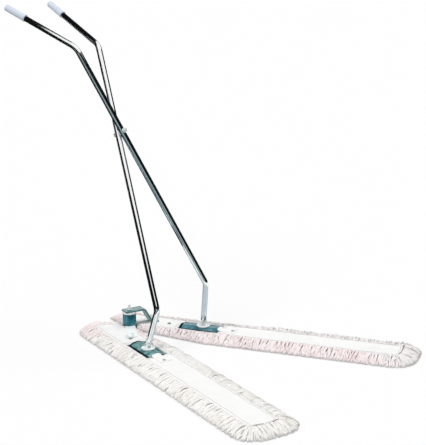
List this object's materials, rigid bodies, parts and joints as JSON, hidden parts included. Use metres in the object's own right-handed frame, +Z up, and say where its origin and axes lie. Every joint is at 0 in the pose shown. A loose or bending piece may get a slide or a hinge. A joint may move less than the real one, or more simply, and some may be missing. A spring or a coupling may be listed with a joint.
{
  "type": "scissor dust mop",
  "caption": "Scissor dust mop: two long fringed mops hinged in a V, pushed and opened with crossed, bent chrome handles on swivel yokes.",
  "frame": {"origin": "on the floor, in the middle of the outline", "axes": "+X to the open side of the V, +Y to the left mop, +Z up"},
  "size_m": [1.4103, 0.9398, 1.1143],
  "materials": {
    "yarn_cream": "looped cotton yarn",
    "yarn_rose": "looped cotton yarn",
    "canvas": "woven canvas",
    "frame_wire": "zinc-plated wire",
    "petrol_paint": "satin enamel",
    "chrome_tube": "polished chrome plate",
    "grip_plastic": "smooth moulded",
    "nylon": "turned nylon",
    "cushion_rubber": "matt rubber",
    "stud_metal": "nickel-plated",
    "zinc_casting": "zinc-plated",
    "zinc_fastener": "zinc-plated"
  },
  "bodies": {
    "right_mop": {"right_yarn": "yarn_cream", "right_cover": "canvas", "right_frame": "frame_wire", "right_cross_plate": "zinc_fastener", "right_saddle": "petrol_paint", "right_seat": "zinc_casting", "right_king_bolt": "zinc_fastener", "right_king_nut": "zinc_fastener", "right_studs": "stud_metal", "hinge_arm": "zinc_casting", "arm_rivets": "zinc_fastener", "hinge_post": "petrol_paint", "hinge_bearing": "nylon", "hinge_bolt": "zinc_fastener", "hinge_washer": "zinc_fastener", "hinge_nut": "zinc_fastener"},
    "left_mop": {"left_yarn": "yarn_rose", "left_cover": "canvas", "left_frame": "frame_wire", "left_cross_plate": "zinc_fastener", "left_saddle": "petrol_paint", "left_seat": "zinc_casting", "left_king_bolt": "zinc_fastener", "left_king_nut": "zinc_fastener", "left_studs": "stud_metal", "hinge_strap": "petrol_paint", "strap_rivets": "zinc_fastener"},
    "right_yoke": {"right_yoke": "zinc_casting", "right_pin": "zinc_fastener", "right_pin_nut": "zinc_fastener"},
    "left_yoke": {"left_yoke": "zinc_casting", "left_pin": "zinc_fastener", "left_pin_nut": "zinc_fastener"},
    "right_handle": {"right_tube": "chrome_tube", "right_foot": "zinc_casting", "right_foot_rivet": "zinc_fastener", "right_grip": "grip_plastic", "pivot_cushion": "cushion_rubber"},
    "left_handle": {"left_tube": "chrome_tube", "left_foot": "zinc_casting", "left_foot_rivet": "zinc_fastener", "left_grip": "grip_plastic", "pivot_bolt": "zinc_fastener", "pivot_nut": "zinc_fastener", "pivot_washer": "zinc_fastener", "pivot_spacer": "nylon"}
  },
  "joints": [
    {"name": "vertex_hinge", "type": "hinge", "parent": "right_mop", "child": "left_mop", "pos_m": [-0.2386, 0, 0.07], "axis": [0, 0, 1], "range_deg": [-18, 32]},
    {"name": "right_swivel", "type": "hinge", "parent": "right_mop", "child": "right_yoke", "pos_m": [-0.02068, -0.14114, 0.028], "axis": [0, 0, 1], "range_deg": [-9.8, 17.3]},
    {"name": "left_swivel", "type": "hinge", "parent": "left_mop", "child": "left_yoke", "pos_m": [-0.02068, 0.14114, 0.028], "axis": [0, 0, 1], "range_deg": [-17.3, 9.8]},
    {"name": "right_pitch", "type": "hinge", "parent": "right_yoke", "child": "right_handle", "pos_m": [-0.02068, -0.14114, 0.04], "axis": [-0.5086, -0.861, 0], "range_deg": [-6.4, 11.4]},
    {"name": "left_pitch", "type": "hinge", "parent": "left_yoke", "child": "left_handle", "pos_m": [-0.02068, 0.14114, 0.04], "axis": [0.5086, -0.861, 0], "range_deg": [-6.4, 11.4]}
  ],
  "couplings": [
    {"joint": "right_swivel", "follows": "vertex_hinge", "ratio": 0.5389},
    {"joint": "left_swivel", "follows": "vertex_hinge", "ratio": -0.5389},
    {"joint": "right_pitch", "follows": "vertex_hinge", "ratio": 0.3527},
    {"joint": "left_pitch", "follows": "vertex_hinge", "ratio": 0.3527}
  ]
}
